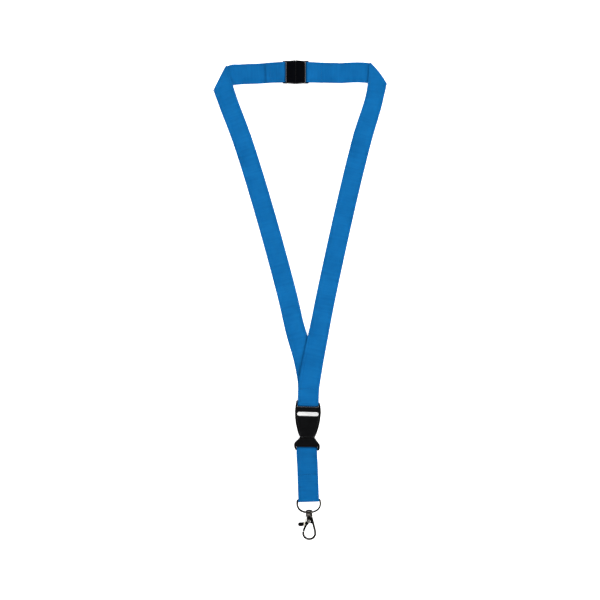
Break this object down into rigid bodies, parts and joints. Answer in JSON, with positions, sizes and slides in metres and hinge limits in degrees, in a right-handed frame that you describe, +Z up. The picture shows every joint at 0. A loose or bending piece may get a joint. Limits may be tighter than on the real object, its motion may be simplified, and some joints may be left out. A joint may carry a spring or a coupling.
{
  "type": "lanyard",
  "caption": "Flat ribbon neck lanyard with a breakaway clip, a side-release buckle, a short strap loop, a D-ring and a swivel snap hook, laid flat.",
  "frame": {"origin": "on the table, below the middle of the whole outline of the lanyard as it lies", "axes": "+Y from the hook up to the neck run, +X to the right, +Z up off the table, through the ribbon's thickness"},
  "size_m": [0.174, 0.479, 0.009],
  "materials": {
    "ribbon": "fine ribbed polyester ribbon, matt with a slight sheen",
    "thread": "polyester sewing thread in the ribbon's colour",
    "clip_plastic": "black moulded plastic, satin",
    "buckle_plastic": "black moulded acetal, fine satin texture",
    "dark_nickel": "dark nickel plate, polished",
    "spring_steel": "bright spring steel"
  },
  "bodies": {
    "neck_loop": {"neck_ribbon_left_top": "ribbon", "neck_ribbon_left_side": "ribbon", "neck_ribbon_right_top": "ribbon", "neck_ribbon_right_side": "ribbon", "breakaway_socket": "clip_plastic", "buckle_housing": "buckle_plastic", "junction_stitching": "thread", "socket_tail_stitching": "thread"},
    "plug_end": {"breakaway_plug": "clip_plastic", "neck_ribbon_right_end": "ribbon", "plug_tail_stitching": "thread"},
    "insert_section": {"buckle_insert": "buckle_plastic", "lower_ribbon": "ribbon", "lower_ribbon_stitching": "thread"},
    "left_arm": {"buckle_arm_left": "buckle_plastic"},
    "right_arm": {"buckle_arm_right": "buckle_plastic"},
    "ring": {"d_ring": "dark_nickel"},
    "eye": {"swivel_eye": "dark_nickel"},
    "hook": {"hook_body": "dark_nickel", "gate_rivet": "dark_nickel"},
    "gate": {"gate_lever": "dark_nickel", "gate_spring": "spring_steel"}
  },
  "joints": [
    {"name": "breakaway_release", "type": "slide", "parent": "neck_loop", "child": "plug_end", "axis": [1, 0, 0], "range_m": [0, 0.0085]},
    {"name": "buckle_release", "type": "slide", "parent": "neck_loop", "child": "insert_section", "axis": [-0.0279, -0.9996, 0], "range_m": [0, 0.02]},
    {"name": "left_arm_press", "type": "hinge", "parent": "insert_section", "child": "left_arm", "pos_m": [0.00134, -0.13536, 0.0045], "axis": [0, 0, -1], "range_deg": [0, 7], "stiffness_Nm_per_rad": 0.05},
    {"name": "right_arm_press", "type": "hinge", "parent": "insert_section", "child": "right_arm", "pos_m": [0.01314, -0.13569, 0.0045], "axis": [0, 0, 1], "range_deg": [0, 7], "stiffness_Nm_per_rad": 0.05},
    {"name": "d_ring_swing", "type": "hinge", "parent": "insert_section", "child": "ring", "pos_m": [0.00866, -0.19909, 0.0034], "axis": [0.9994, 0.0349, 0], "range_deg": [-75, 75]},
    {"name": "eye_swing", "type": "hinge", "parent": "ring", "child": "eye", "pos_m": [0.00909, -0.21158, 0.0034], "axis": [0.9994, 0.0349, 0], "range_deg": [-75, 75]},
    {"name": "hook_swivel", "type": "hinge", "parent": "eye", "child": "hook", "pos_m": [0.00909, -0.21158, 0.0034], "axis": [0, -1, 0], "continuous": true},
    {"name": "gate_open", "type": "hinge", "parent": "hook", "child": "gate", "pos_m": [0.00909, -0.22058, 0.0034], "axis": [0, 0, 1], "range_deg": [0, 22], "stiffness_Nm_per_rad": 0.02}
  ]
}
